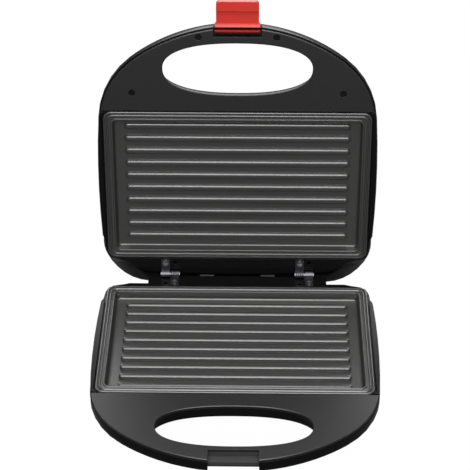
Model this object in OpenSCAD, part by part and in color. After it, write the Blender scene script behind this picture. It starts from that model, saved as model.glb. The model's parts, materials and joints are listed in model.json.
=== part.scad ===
// Sandwich toaster, lid open.
// Two casings share one outline, hinged at the back, each with a ridged plate and half of the handle.
// The origin is on the worktop under the middle of the lower plate. The handle points along -Y.
// Each half is drawn face up, with z = 0 at its plate's rim, then placed in the base or turned into the lid.

/* [Plates] */
// Distance from the side of a plate to the widest side of the casing
side_margin = 6; // [5:0.5:10]
// Depth of each cooking plate, hinge side to handle side
plate_d = 135; // [130:1:142]
// Corner radius of the plate's rim
plate_r = 6.5; // [4:0.5:8]
// Thickness of the plate's metal
plate_t = 2; // [1.6:0.1:2.4]
// Width of the flat rim round the plate
rim_w = 7.5; // [6:0.5:8]
// Depth of the plate's floor below its rim
floor_drop = 7.6; // [6:0.1:9]
// Number of ridges on each plate
ridge_count = 10; // [8:1:10]
// Spacing of the ridges
ridge_pitch = 11.3; // [10.5:0.1:11.5]
// Distance from the side of a plate to the round ends of the ridges
ridge_margin = 17; // [15:0.5:30]
// Half width of each ridge
ridge_r = 2.7; // [2:0.1:3.2]
// How far the ridge tops stay below the rim
ridge_drop = 4.4; // [3.6:0.1:4.8]
// Play between a plate and the casing round it
plate_play = 0.9; // [0.5:0.1:1.2]

/* [Casing] */
// Width of the casing over its bulged sides
body_w = 232; // [230:1:240]
// Radius of the bulged sides
side_r = 850; // [700:10:1200]
// Distance from the hinge axis back to the rear of the casing
rear_back = 22.7; // [20.5:0.1:27]
// Radius of the slightly curved rear
rear_r = 1500; // [1000:50:3000]
// Radius of the two rear corners
corner_r = 38; // [30:1:45]
// Depth of each casing below its plate's rim
casing_h = 38; // [36:1:44]
// Wall thickness of the mouldings
wall = 2.6; // [2:0.1:3]
// How far the top lip is drawn in from the widest outline
lip_inset = 0.9; // [0.5:0.1:1.4]
// Radius under the casing, measured at its deepest place
round_h = 14.4; // [10:0.2:16]
// Width of the slope behind the hinge, seen from above
slope_w = 22; // [21:0.5:22.5]
// Height of the lid's rear slope
lid_slope_h = 22; // [20:0.5:23]

/* [Handle] */
// Distance from the plate's middle to the front of the lid's handle
lid_reach = 141.8; // [130:0.1:150]
// How much farther the base's handle reaches than the lid's
base_lip = 2.1; // [1.5:0.1:3]
// Radius of the handle's front curve
front_r = 142; // [136:1:150]
// Radius of the shoulders between handle and sides
shoulder_r = 70; // [45:1:90]
// Thickness of the handle
handle_h = 14; // [12:0.5:16]
// Width of the hand hole
hole_w = 121; // [110:1:125]
// Distance from the plate's front edge to the hand hole
hole_back = 15.4; // [14.5:0.1:17]
// Width of the bar between the hand hole and the front of the lid's handle
grip_w = 14.5; // [13:0.1:18]
// How far the hole widens through the handle's thickness
hole_flare = 3.9; // [2:0.1:5]
// Thickness of the handle covers
cover_t = 2.4; // [2:0.1:3]
// How far the base cover's edge is drawn in
base_cover_inset = 0.4; // [0.2:0.1:1]
// How far the lid cover's edge is drawn in
lid_cover_inset = 1.4; // [0.8:0.1:1.8]

/* [Hinges] */
// How far the lid opens from closed
open_angle = 98; // [92:1:98]
// Distance from the plate's back edge to the hinge axis
hinge_back = 15.3; // [15:0.1:16]
// Height of the hinge axis over the rim of the lower plate
hinge_rise = 1; // [1:0.1:1.2]
// Distance from the middle to the middle of each hinge
hinge_x = 57.3; // [50:0.1:62]
// Radius of the hinge pins
pin_r = 1.5; // [1.2:0.1:1.8]
// Outer radius of the rolled knuckles
knuckle_r = 3.3; // [3:0.1:3.6]
// Width of each knuckle and its leaf
knuckle_w = 7.2; // [6:0.1:8]
// Thickness of the hinge leaves
leaf_t = 1.2; // [1:0.1:1.4]
// Length of each leaf's strap from its screw toward the plate
leaf_tail = 4.2; // [3.6:0.1:4.4]
// Running clearance of a pin in its bore
pin_play = 0.06; // [0.04:0.01:0.09]

/* [Latch] */
// Width of the latch tab
latch_w = 34; // [30:0.5:36]
// Distance from the latch bar to the tip of the tab
latch_len = 22.6; // [21:0.1:25]
// Thickness of the latch tab
latch_t = 3; // [2.4:0.1:3.2]
// Radius of the latch bar
bar_r = 1.7; // [1.5:0.1:1.8]
// Outer radius of the clip round the bar
clip_r = 4.2; // [3.8:0.1:4.2]
// Distance from the front of the lid's handle back to the latch bar
bar_back = 1.5; // [1.4:0.1:3]
// Depth of the latch bar below the rim
bar_drop = 2; // [2:0.1:2.2]
// How far the hook stands out from the tab
hook_out = 2; // [1.6:0.1:2.2]
// Width of the notches for the latch
notch_w = 38.6; // [37.5:0.1:42]
// Depth of the base's latch notch
notch_h = 7; // [6:0.5:7]
// Thickness of the lip that the latch hooks under
catch_t = 3.1; // [2.5:0.1:3.3]

/* [Heating] */
// Radius of the tubular elements
element_r = 3.3; // [3:0.1:3.6]
// Distance between the element's two runs
element_span = 64; // [60:1:68]
// Thickness of the reflector's sheet
sheet_t = 0.8; // [0.6:0.1:1]

/* [Feet] */
// Height of the feet under the base
foot_h = 4; // [3:0.5:6]
// Radius of the feet
foot_r = 9; // [7:0.5:10]
// Distance from the middle to the feet, across
foot_x = 78; // [70:1:82]
// Distance from the middle back to the rear feet
foot_back = 82; // [76:1:84]
// Distance from the middle forward to the front feet
foot_front = 28; // [20:1:30]

/* [Hidden] */
$fn = 48;
// A small overlap that makes cuts break through
cut = 1;
// Width of the plates, and length of their ridges with both round ends
plate_w = body_w - 2 * side_margin;
ridge_len = plate_w - 2 * ridge_margin;
// Front of the base's handle, and the latch bar in the lid's
base_reach = lid_reach + base_lip;
bar_y = lid_reach - bar_back;
// Depth of the hand hole, plate side to front, and where its middle is
hole_d = lid_reach - grip_w - plate_d / 2 - hole_back;
hole_y = plate_d / 2 + hole_back + hole_d / 2;
// Height of the lower plate's rim over the worktop
rim_z = foot_h + casing_h;
// How far back the plate's middle is from the middle of the open toaster's footprint
row_y = 2.9;
// Where the hinge axis runs
hinge_y = plate_d / 2 + hinge_back;
// Rear of the casing, from the plate's middle
rear_reach = hinge_y + rear_back;
// Level of the shelf behind the plate, below the rim
shelf_h = 1;
// Angles of the two rear slopes, which lie along each other when the lid is open
lid_slope = atan(lid_slope_h / slope_w);
base_slope = open_angle - lid_slope;
base_slope_h = slope_w * tan(base_slope);
// Gap between the open slopes, and the play that the stop ribs leave
slope_y = rear_reach - slope_w;
slope_gap = (hinge_y - slope_y) * (sin(base_slope) + sin(lid_slope))
    + (hinge_rise + shelf_h) * (cos(base_slope) + cos(lid_slope));
stop_play = 0.3;
// Opening in the casing for the plate's tray
opening_w = plate_w - 2 * rim_w + 2 * plate_play;
opening_d = plate_d - 2 * rim_w + 2 * plate_play;
// Thickness of the plate's floor at its underside
tray_h = floor_drop + plate_t;
// First ridge, measured from the middle of the plate
ridge_y0 = (ridge_count - 1) * ridge_pitch / 2 - 2;
// Where the handle cover begins
cover_y = -plate_d / 2 - 1.5;
// Depth of the heating element's axis below the rim
element_h = tray_h + element_r;
// Length of the straight runs, either side of the middle
element_x0 = 36 - plate_w / 2;
element_x1 = plate_w / 2 - 60;
// Size, middle and depth of the reflector tray
reflector_w = plate_w - 48;
reflector_d = plate_d - 31;
reflector_x = 6;
reflector_h = 22;
// Posts that carry the reflector
reflector_post_x = plate_w / 2 - 36;
reflector_post_y = element_span / 2 + 10;
// Half the width of the hollow behind the plate, which reaches past both hinges
bay_x = hinge_x + knuckle_w + 7.5;
// Positions across of the two element clamps
clamp_x = [element_x0 + 38, element_x1 - 24];
// Play of the latch hook under the catch lip
hook_play = 0.5;
// Latch hook face, measured along the tab from the bar
hook_y = hinge_rise * 2 + bar_drop + notch_h + catch_t + hook_play;
// The tab's face, below the rim, and its play to the catch lip of the base
tab_face = 0.2;
lip_play = 1;
// Front of the catch lip in the base's notch
lip_y = bar_y - bar_drop + tab_face - lip_play;

function clamp01(t) = min(1, max(0, t));
function smooth(t) = let (u = clamp01(t)) u * u * (3 - 2 * u);

// Intersection of two circles, on the side given by s
function meet(c1, r1, c2, r2, s) =
    let (v = c2 - c1, d = norm(v), a = (r1 * r1 - r2 * r2 + d * d) / (2 * d), h = sqrt(r1 * r1 - a * a))
    c1 + a * v / d + s * h * [-v[1], v[0]] / d;
function heading(v) = atan2(v[1], v[0]);

// The right-hand half of the outline as tangent arcs: centre, radius, start angle, end angle, steps
function arcs(reach) =
    let (
        front = [0, front_r - reach],
        side = [body_w / 2 - side_r, -2.5],
        rear = [0, rear_reach - rear_r],
        shoulder = meet(side, side_r - shoulder_r, front, front_r - shoulder_r, -1),
        corner = meet(side, side_r - corner_r, rear, rear_r - corner_r, 1),
        a1 = heading(shoulder - front),
        a2 = heading(shoulder - side),
        a3 = heading(corner - side),
        a4 = heading(corner - rear)
    )
    [
        [front, front_r, -90, a1, 14],
        [shoulder, shoulder_r, a1, a2, 5],
        [side, side_r, a2, a3, 6],
        [corner, corner_r, a3, a4, 7],
        [rear, rear_r, a4, 90, 3]
    ];

// Stations along that half: centre, radius and angle of each point
function half_stations(reach) = [
    for (a = arcs(reach))
        for (k = [0 : a[4] - 1])
            [a[0], a[1], a[2] + (a[3] - a[2]) * k / a[4]]
];
function stations(reach) = concat(half_stations(reach), [[[0, rear_reach - rear_r], rear_r, 90]]);

// Where a station stands, drawn in by an inset
function spot(s, inset) = s[0] + (s[1] - inset) * [cos(s[2]), sin(s[2])];

// The whole outline, drawn in all round by one inset
function outline(reach, inset) =
    let (half = [for (s = stations(reach)) spot(s, inset)], n = len(half))
    concat(half, [for (k = [n - 2 : -1 : 1]) [-half[k][0], half[k][1]]]);

// How deep the casing is at a place between handle and belly
belly_y = hole_d / 2 - hole_y + 2.4;
belly_len = 48;
function depth_at(y) = handle_h + (casing_h - handle_h) * smooth((y - belly_y) / belly_len);

// Share of the rear slope at a place on the outline: none at the sides, all of it at the rear
function slope_at(y) = smooth((y - 49.5) / 34);

// Rows of the casing's wall: share of the rounding reached, from the lip down
round_steps = 6;

// One row of the casing as points. skin makes the inside, drawn in by the wall.
function casing_row(reach, slope_h, skin, top, turn) =
    let (half = [
        for (s = stations(reach))
            let (
                y = spot(s, 0)[1],
                full = depth_at(y),
                r = round_h * full / casing_h,
                drop = turn < 0 ? top * (full - r) : full - r + r * sin(turn),
                slope = slope_w * slope_at(y) * clamp01((slope_h + shelf_h - drop) / slope_h),
                lip = lip_inset * clamp01(1 - drop / 3),
                round_in = turn < 0 ? 0 : r * (1 - cos(turn)),
                p = spot(s, skin + slope + lip + round_in)
            )
            [p[0], p[1], -min(drop, full - skin)]
    ], n = len(half))
    concat(half, [for (k = [n - 2 : -1 : 1]) [-half[k][0], half[k][1], half[k][2]]]);

// A closed solid through rows of matching points. The end caps are ladders between mirrored points.
module loft(rows) {
    n = len(rows[0]);
    m = len(rows);
    sides = [
        for (j = [0 : m - 2])
            for (i = [0 : n - 1])
                let (a = j * n + i, b = j * n + (i + 1) % n, c = a + n, d = b + n)
                each [[a, b, c], [b, d, c]]
    ];
    half = n / 2;
    function rung(i) = i == 0 ? 0 : n - i;
    caps = [
        for (i = [0 : half - 1])
            let (a = i, b = i + 1, c = rung(i + 1), d = rung(i))
            each [
                if (b != c) [c, b, a],
                if (a != d) [d, c, a]
            ]
    ];
    ends = concat(caps, [for (f = caps) [for (k = [2 : -1 : 0]) f[k] + (m - 1) * n]]);
    polyhedron(points = [for (r = rows) each r], faces = concat(sides, ends), convexity = 6);
}

module casing_solid(reach, slope_h, skin) {
    tops = [0, 0.06, 0.14, 0.3, 0.55, 0.8];
    rows = concat(
        [for (t = tops) casing_row(reach, slope_h, skin, t, -1)],
        [for (k = [0 : round_steps]) casing_row(reach, slope_h, skin, 1, 90 * k / round_steps)]
    );
    loft(rows);
}

// Superellipse of the hand hole, grown all round
hole_power = 2.35;
function hole_point(a, grow) =
    [
        (hole_w / 2 + grow) * sign(cos(a)) * pow(abs(cos(a)), 2 / hole_power),
        (hole_d / 2 + grow) * sign(sin(a)) * pow(abs(sin(a)), 2 / hole_power) - hole_y
    ];
function hole_outline(grow) = [for (k = [0 : 63]) hole_point(k * 360 / 64 - 90, grow)];
function hole_row(grow, z) = [for (p = hole_outline(grow)) [p[0], p[1], z]];

// The hole through a handle, flared towards the outside of the casing
module hand_hole() {
    loft([
        hole_row(0, cut),
        hole_row(0, -cover_t),
        hole_row(hole_flare, -handle_h),
        hole_row(hole_flare + 1, -handle_h - 6)
    ]);
}

module rounded_slab(w, d, r, h) {
    linear_extrude(h)
        union() {
            square([w - 2 * r, d], center = true);
            square([w, d - 2 * r], center = true);
            for (x = [-1, 1], y = [-1, 1])
                translate([x * (w / 2 - r), y * (d / 2 - r)]) circle(r);
        }
}

// Where the halves go: the base stands face up, the lid is mirrored over it and swung open
module in_base() {
    translate([0, row_y, rim_z]) children();
}
module in_lid() {
    translate([0, row_y + hinge_y, rim_z + hinge_rise])
        rotate([-open_angle, 0, 0])
            mirror([0, 0, 1])
                translate([0, -hinge_y, -hinge_rise]) children();
}

// Screw with a pan head whose underside is at z = 0 and whose shank points down
module screw(r, len, head_r, head_h) {
    difference() {
        union() {
            translate([0, 0, -len]) cylinder(r = r, h = len + head_h / 2);
            cylinder(r = head_r, h = head_h);
        }
        for (a = [0, 90])
            rotate([0, 0, a])
                translate([0, 0, head_h]) cube([head_r * 1.3, head_r * 0.28, head_h * 1.1], center = true);
    }
}

// Posts that take the cover's screws: two beside the hole, two at the front corners of the handle
post_far = [hole_w / 2 + 25.1, hole_y - 20.5];
post_near = [notch_w / 2 + 11.9, lid_reach - 9.2];
cover_posts = [for (p = [post_far, post_near], s = [1, -1]) [s * p[0], -p[1]]];
post_r = 3.6;
screw_r = 1.4;
screw_play = 0.15;
thread_r = screw_r + 0.05;

// The inside of a casing: under the plate and in the handle, with the posts left standing
module inside(reach, slope_h) {
    difference() {
        intersection() {
            casing_solid(reach, slope_h, wall);
            union() {
                translate([0, 0, -casing_h])
                    rounded_slab(opening_w, opening_d, plate_r, casing_h + cut);
                translate([0, 0, -casing_h])
                    rounded_slab(body_w, opening_d, 14, casing_h - 6);
                translate([-bay_x, 0, -casing_h]) cube([2 * bay_x, hinge_y + 4, casing_h - 13]);
                translate([0, 0, -handle_h])
                    linear_extrude(handle_h + cut)
                        difference() {
                            translate([-body_w / 2, -reach])
                                square([body_w, reach + cover_y - 7]);
                            polygon(hole_outline(hole_flare + wall));
                            translate([-notch_w / 2 - wall, -reach - cut])
                                square([notch_w + 2 * wall, reach - hole_y + cut]);
                        }
            }
        }
        for (p = cover_posts)
            translate([p[0], p[1], -casing_h]) cylinder(r = post_r, h = casing_h - cover_t);
        for (x = [-reflector_post_x, reflector_post_x], y = [-reflector_post_y, reflector_post_y])
            translate([x, y, -casing_h]) cylinder(r = 3, h = casing_h - reflector_h);
    }
}

// What the two casings have in common, with the space for the plate, the inside and the hole cut away
module half_shell(reach, slope_h) {
    seat_h = plate_t;
    difference() {
        casing_solid(reach, slope_h, 0);
        inside(reach, slope_h);
        // The seat of the plate's rim
        translate([0, 0, -seat_h])
            rounded_slab(plate_w + 2 * plate_play, plate_d + 2 * plate_play, plate_r, seat_h + cut);
        // The shelf behind the plate
        translate([-body_w / 2, plate_d / 2 + plate_play - 0.1, -shelf_h])
            cube([body_w, rear_reach, shelf_h + cut]);
        // The seat of the handle cover
        translate([-body_w / 2, -reach - cut, -cover_t])
            cube([body_w, reach + cut + cover_y + 1.5, cover_t + cut]);
        hand_hole();
        // Room for the hinge knuckles
        for (x = [-hinge_x, hinge_x])
            translate([x - knuckle_w - 1, hinge_y, hinge_rise])
                rotate([0, 90, 0]) cylinder(r = knuckle_r + 0.7, h = 2 * knuckle_w + 2);
        // Screw holes of the hinge leaves
        leaf_holes();
        // Front ears of the plate, with the holes for their screws
        for (x = [-ear_x, ear_x]) {
            translate([x - ear_w / 2 - 0.3, cover_y - ear_d - 0.3, -ear_top - ear_t])
                cube([ear_w + 0.6, ear_d + 16, ear_t + 2 * cut]);
            translate([x, ear_y, -ear_top - ear_t - 7]) cylinder(r = thread_r, h = 8);
        }
        // Pockets for the plate's rear hooks
        for (x = [-hook_x, hook_x])
            translate([x - 5.3, opening_d / 2 - cut, -tray_h - 2.3])
                cube([10.6, 4 + cut, 2.6]);
        // Threads of the cover's screws
        for (p = cover_posts)
            translate([p[0], p[1], -cover_t - 8]) cylinder(r = thread_r, h = 9);
    }
}

// Ears at the plate's front, hooks at its rear
ear_x = plate_w / 2 - 22;
ear_w = 10;
ear_d = 6;
ear_t = 2;
ear_top = cover_t + 1;
ear_y = cover_y - ear_d / 2;
hook_x = plate_w / 2 - 40;

leaf_screw_y = plate_d / 2 + 5;
module leaf_holes() {
    for (x = [-hinge_x, hinge_x], s = [-1, 1])
        translate([x + s * leaf_shift, leaf_screw_y, -shelf_h - 8.5])
            cylinder(r = thread_r, h = 8.5 + cut);
}

// The notch where the latch hooks on, with its lip at the bottom
base_notch_y = hole_y + hole_d / 2 + 4;
module base_notch() {
    translate([-notch_w / 2, -base_reach - cut, -notch_h])
        cube([notch_w, base_reach + cut - base_notch_y, notch_h + cut]);
    translate([-notch_w / 2, -base_reach - cut, -handle_h - cut])
        cube([notch_w, base_reach + cut - lip_y, handle_h + 2 * cut]);
    translate([-notch_w / 2, -base_reach - cut, -handle_h - cut])
        cube([notch_w, base_reach + cut - lip_y + 2.6, handle_h + cut - notch_h - catch_t]);
}

foot_places = [
    for (x = [-foot_x, foot_x]) each [[x, foot_back], [x, -foot_front]]
];
supply_x = plate_w / 2 - 46;
bush_x = supply_x;
bush_h = 32;
bush_r = 4.4;
lead_r = 3.1;

module base_shell() {
    color("#101010")
        in_base()
            difference() {
                union() {
                    half_shell(base_reach, base_slope_h);
                    // Ribs that stop the open lid
                    for (x = [-hinge_x + 31.3, hinge_x - 31.3])
                        translate([x - 6, slope_y, -shelf_h])
                            rotate([-base_slope, 0, 0])
                                translate([0, 1, -1]) cube([12, 22, 1 + slope_gap - stop_play]);
                }
                base_notch();
                // The rear corners fall away outside the hinges
                for (x = [76, -76 - 60])
                    translate([x, plate_d / 2 + 3.6, 0]) rotate([-40, 0, 0]) cube([60, 80, 40]);
                // Seats of the feet
                for (p = foot_places)
                    translate([p[0], p[1], -casing_h - cut]) cylinder(r = foot_r + 0.2, h = cut + 1.2);
                // Seat of the cord bush and the way in behind it
                translate([bush_x, opening_d / 2 - cut, -bush_h])
                    rotate([-90, 0, 0]) cylinder(r = lead_r + 0.4, h = rear_reach);
                translate([bush_x, rear_reach - 14, -bush_h])
                    rotate([-90, 0, 0]) cylinder(r = bush_r, h = 30);
                // Cooling slots under the elements
                for (x = [-48 : 12 : 48])
                    translate([x - 1.6, -6, -casing_h - cut]) cube([3.2, 44, wall + 2 * cut]);
                // Holes for the screws that hold the cover from below
                for (p = cover_posts)
                    translate([p[0], p[1], -handle_h - 9]) {
                        cylinder(r = screw_r + screw_play, h = handle_h + 9);
                        cylinder(r = 3, h = 9 + handle_h - screw_seat);
                        translate([0, 0, 9 + handle_h - cover_t - boss_h])
                            cylinder(r = boss_r + 0.2, h = boss_h + cut);
                    }
            }
}

module cover(reach, inset, holes_r) {
    rows = [
        [for (p = outline(reach, inset + 0.5)) [p[0], p[1], 0]],
        [for (p = outline(reach, inset)) [p[0], p[1], -0.5]],
        [for (p = outline(reach, inset)) [p[0], p[1], -cover_t]]
    ];
    difference() {
        intersection() {
            loft(rows);
            translate([-body_w / 2, -reach - cut, -cover_t - cut])
                cube([body_w, reach + cut + cover_y, cover_t + 2 * cut]);
        }
        loft([hole_row(0.4, cut), hole_row(0.4, 0), hole_row(0, -0.4), hole_row(0, -cover_t - cut)]);
        if (holes_r > 0)
            for (p = cover_posts) {
                translate([p[0], p[1], -cover_t - cut]) cylinder(r = screw_r + screw_play, h = cover_t + 2 * cut);
                translate([p[0], p[1], -1.2]) cylinder(r = holes_r, h = 2);
            }
    }
}

boss_r = 2.6;
boss_h = 4;
module base_handle_cover() {
    color("#303030")
        in_base() {
            difference() {
                cover(base_reach, base_cover_inset, 0);
                translate([-notch_w / 2, -base_reach - cut, -cover_t - cut])
                    cube([notch_w, base_reach + cut - base_notch_y, cover_t + 2 * cut]);
            }
            for (p = cover_posts)
                translate([p[0], p[1], -cover_t - boss_h])
                    difference() {
                        cylinder(r = boss_r, h = boss_h + 0.5);
                        translate([0, 0, -cut]) cylinder(r = thread_r, h = boss_h + cut);
                    }
        }
}

// Where the heads of the screws from below are seated, below the rim
screw_seat = cover_t + boss_h + 3.6;
module base_cover_screws() {
    color("silver")
        in_base()
            for (p = cover_posts)
                translate([p[0], p[1], -screw_seat])
                    mirror([0, 0, 1]) screw(screw_r, screw_seat - cover_t - 0.6, 2.6, 1.4);
}

// One ridge: a round-topped bar with round ends
module ridge() {
    top = floor_drop - ridge_drop;
    run = ridge_len - 2 * ridge_r;
    intersection() {
        union() {
            translate([-run / 2, 0, -floor_drop + top - ridge_r])
                rotate([0, 90, 0]) cylinder(r = ridge_r, h = run);
            for (x = [-run / 2, run / 2])
                translate([x, 0, -floor_drop + top - ridge_r]) sphere(r = ridge_r);
        }
        translate([-ridge_len / 2 - cut, -ridge_r - cut, -floor_drop - 0.5])
            cube([ridge_len + 2 * cut, 2 * ridge_r + 2 * cut, top + 0.5 + cut]);
    }
}

// A plate: a shallow tray with a flat rim, ridges inside, ears and hooks that hold it
module plate() {
    inner_w = plate_w - 2 * rim_w - 2 * plate_t;
    inner_d = plate_d - 2 * rim_w - 2 * plate_t;
    difference() {
        union() {
            translate([0, 0, -plate_t]) rounded_slab(plate_w, plate_d, plate_r, plate_t);
            translate([0, 0, -tray_h])
                rounded_slab(plate_w - 2 * rim_w, plate_d - 2 * rim_w, plate_r - 1, tray_h - plate_t / 2);
            for (x = [-ear_x, ear_x])
                translate([x - ear_w / 2, cover_y - ear_d, -ear_top - ear_t])
                    cube([ear_w, ear_d + 9.5, ear_t]);
            for (x = [-hook_x, hook_x])
                translate([x - 5, opening_d / 2 - plate_play - 3, -tray_h - 2])
                    cube([10, 6, 2]);
            for (x = clamp_x)
                translate([x, 0, -element_h - element_r]) cylinder(r = 3.4, h = 2 * element_r + 0.5);
        }
        translate([0, 0, -floor_drop])
            rounded_slab(inner_w, inner_d, plate_r - 2, floor_drop + cut);
        translate([0, 0, -1.2]) rounded_slab(inner_w + 2.2, inner_d + 2.2, plate_r - 1, 1.2 + cut);
        for (x = [-ear_x, ear_x])
            translate([x, ear_y, -ear_top - ear_t - cut]) cylinder(r = screw_r + screw_play, h = ear_t + 2 * cut);
        for (x = clamp_x)
            translate([x, 0, -element_h - element_r - cut]) cylinder(r = thread_r, h = cut + 5.5);
    }
    for (i = [0 : ridge_count - 1])
        translate([0, ridge_y0 - i * ridge_pitch, 0]) ridge();
}

module lower_plate() {
    color("#444444") in_base() plate();
}

module lower_plate_screws() {
    color("silver") in_base() sunk_plate_screws();
}

// The plate's front screws lie under the handle cover
module sunk_plate_screws() {
    for (x = [-ear_x, ear_x])
        translate([x, ear_y, -ear_top]) screw(screw_r, 6.5, 2.4, 0.9);
}

// The tubular element: two straight runs joined by a half circle
module element() {
    r = element_span / 2;
    translate([0, 0, -element_h]) {
        for (s = [-1, 1])
            translate([element_x0, s * r, 0])
                rotate([0, 90, 0]) cylinder(r = element_r, h = element_x1 - element_x0);
        translate([element_x1, 0, 0])
            rotate([0, 0, -90]) rotate_extrude(angle = 180) translate([r, 0]) circle(element_r);
    }
}

module element_bushes() {
    for (s = [-1, 1])
        translate([element_x0, s * element_span / 2, -element_h])
            rotate([0, -90, 0]) {
                cylinder(r = element_r - 0.3, h = 7);
                cylinder(r = 1, h = 14);
            }
}

module clamps() {
    bar_z = -element_h - element_r;
    for (x = clamp_x)
        translate([x, 0, bar_z]) {
            difference() {
                translate([-5, -element_span / 2 - 7, -1.5]) cube([10, element_span + 14, 1.5]);
                translate([0, 0, -2]) cylinder(r = screw_r + screw_play, h = 3);
            }
            translate([0, 0, -1.5]) mirror([0, 0, 1]) screw(screw_r, 6.5, 3, 1.6);
        }
}

module reflector() {
    r = 5;
    translate([reflector_x, 0, -reflector_h])
        difference() {
            rounded_slab(reflector_w, reflector_d, r, 5);
            translate([0, 0, sheet_t])
                rounded_slab(reflector_w - 2 * sheet_t, reflector_d - 2 * sheet_t, r - sheet_t, 5);
        }
}

module thermostat() {
    translate([-5, 0, -tray_h - 7]) {
        cylinder(r = 8, h = 7);
        translate([-3.5, -13, 2]) cube([7, 26, 1]);
    }
}

// An insulated lead through a list of points
lead_wire_r = 1.6;
module lead(points) {
    for (k = [0 : len(points) - 1]) {
        translate(points[k]) sphere(r = lead_wire_r);
        if (k > 0) {
            v = points[k] - points[k - 1];
            translate(points[k - 1])
                rotate([0, acos(v[2] / norm(v)), atan2(v[1], v[0])])
                    cylinder(r = lead_wire_r, h = norm(v));
        }
    }
}

// Leads from the two ends of an element, under the reflector, to where its supply comes in
module wiring(end_y) {
    x = element_x0 - 14 - lead_wire_r;
    low = -reflector_h - 6;
    for (s = [-1, 1])
        lead([
            [x, s * element_span / 2, -element_h],
            [x, s * element_span / 2, low],
            [supply_x + s * 5, s * element_span / 2, low],
            [supply_x + s * 5, end_y, low]
        ]);
}
module lower_element() {
    color("#8a8a86") in_base() element();
}
module lower_element_bushes() {
    color("ivory") in_base() element_bushes();
}
module lower_clamps() {
    color("silver") in_base() clamps();
}
module lower_reflector() {
    color("gainsboro") in_base() reflector();
}
module lower_thermostat() {
    color("tan") in_base() thermostat();
}
module base_wiring() {
    color("white") in_base() wiring(block_y - lead_wire_r);
}

module thermal_fuse() {
    color("white")
        in_base()
            translate([50, -12, -tray_h - 3.2]) rotate([-90, 0, 0]) cylinder(r = 3.2, h = 24);
}

block_y = plate_d / 2 - 21.5;
module terminal_block() {
    color("ivory")
        in_base()
            difference() {
                translate([supply_x - 12, block_y, -casing_h + wall]) cube([24, 14, 11]);
                for (x = [-6, 0, 6])
                    translate([supply_x + x, block_y + 7, -casing_h + wall + 5]) cylinder(r = 1.6, h = 8);
            }
}

module rubber_feet() {
    color("#181818")
        for (p = foot_places)
            translate([p[0], row_y + p[1], 0])
                rotate_extrude()
                    polygon([
                        [0, 0], [foot_r - 1.5, 0], [foot_r - 0.5, 0.6], [foot_r, foot_h],
                        [foot_r, foot_h + 1.2], [0, foot_h + 1.2]
                    ]);
}

module cord_bush() {
    color("#141414")
        in_base()
            translate([bush_x, rear_reach - 14, -bush_h])
                rotate([-90, 0, 0])
                    difference() {
                        cylinder(r = bush_r - 0.05, h = 15);
                        translate([0, 0, -cut]) cylinder(r = lead_r, h = 15 + 2 * cut);
                    }
}

// One leaf: a rolled knuckle on the hinge axis and a strap along the shelf with a screw hole
module leaf(x) {
    drop = hinge_rise + shelf_h;
    y0 = leaf_screw_y - leaf_tail;
    hole_play = 0.2;
    difference() {
        union() {
            translate([x - knuckle_w / 2, hinge_y, hinge_rise])
                rotate([0, 90, 0]) cylinder(r = knuckle_r, h = knuckle_w);
            translate([x - knuckle_w / 2, y0 + 1.6, -shelf_h])
                cube([knuckle_w, hinge_y - knuckle_r - y0 - 0.8, leaf_t]);
            translate([x - knuckle_w / 2 + 1.6, y0, -shelf_h])
                cube([knuckle_w - 3.2, 3, leaf_t]);
        }
        translate([x - knuckle_w, hinge_y, hinge_rise])
            rotate([0, 90, 0]) cylinder(r = pin_r + pin_play, h = 2 * knuckle_w);
        // The seam where the rolled sheet ends
        translate([x - knuckle_w, hinge_y - knuckle_r - 0.2, hinge_rise - 0.1])
            cube([2 * knuckle_w, knuckle_r - pin_r, 0.5]);
        translate([x, leaf_screw_y, -shelf_h - cut]) cylinder(r = screw_r + hole_play, h = leaf_t + 2 * cut);
    }
}

// Base knuckles sit to the right of the lid's on both hinges
leaf_shift = knuckle_w / 2 + 0.4;
module base_hinge_leaves() {
    color("#6a6a6a") in_base() for (x = [-hinge_x, hinge_x]) leaf(x + leaf_shift);
}
module lid_hinge_leaves() {
    color("#6a6a6a") in_lid() for (x = [-hinge_x, hinge_x]) leaf(x - leaf_shift);
}
module leaf_screws(shift) {
    for (x = [-hinge_x, hinge_x])
        translate([x + shift, leaf_screw_y, leaf_t - shelf_h]) screw(screw_r, 8, 2.5, 1.1);
}
module base_hinge_screws() {
    color("silver") in_base() leaf_screws(leaf_shift);
}
module lid_hinge_screws() {
    color("silver") in_lid() leaf_screws(-leaf_shift);
}

module hinge_pins() {
    color("silver")
        in_base()
            for (x = [-hinge_x, hinge_x])
                translate([x - knuckle_w - 0.9, hinge_y, hinge_rise])
                    rotate([0, 90, 0]) {
                        cylinder(r = pin_r, h = 2 * knuckle_w + 1.8);
                        cylinder(r = pin_r + 0.7, h = 0.5);
                        translate([0, 0, 2 * knuckle_w + 1.3]) cylinder(r = pin_r + 0.7, h = 0.5);
                    }
}

lens_x = 16;
lens_y = -20;
lens_r = 4.5;
module lid_shell() {
    color("#101010")
        in_lid() {
            latch_bar();
            difference() {
                half_shell(lid_reach, lid_slope_h);
                // The latch's notch, open to the front, with the handle's outer skin left behind it
                translate([-notch_w / 2, -lid_reach - cut, -notch_h])
                    cube([notch_w, lid_reach + cut - lid_notch_y, notch_h + cut]);
                for (x = [-lens_x, lens_x])
                    translate([x, lens_y, -casing_h - cut]) cylinder(r = lens_r, h = wall + 2 * cut);
            }
        }
}
lid_notch_y = lid_reach - 8.8;

module lid_handle_cover() {
    color("#1a1a1a")
        in_lid()
            difference() {
                cover(lid_reach, lid_cover_inset, 2.7);
                translate([-notch_w / 2, -lid_reach - cut, -cover_t - cut])
                    cube([notch_w, lid_reach + cut - lid_notch_y, cover_t + 2 * cut]);
            }
}

module lid_cover_screws() {
    color("#303030")
        in_lid()
            for (p = cover_posts) translate([p[0], p[1], -1.2]) screw(screw_r, 7.5, 2.4, 1);
}

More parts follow.
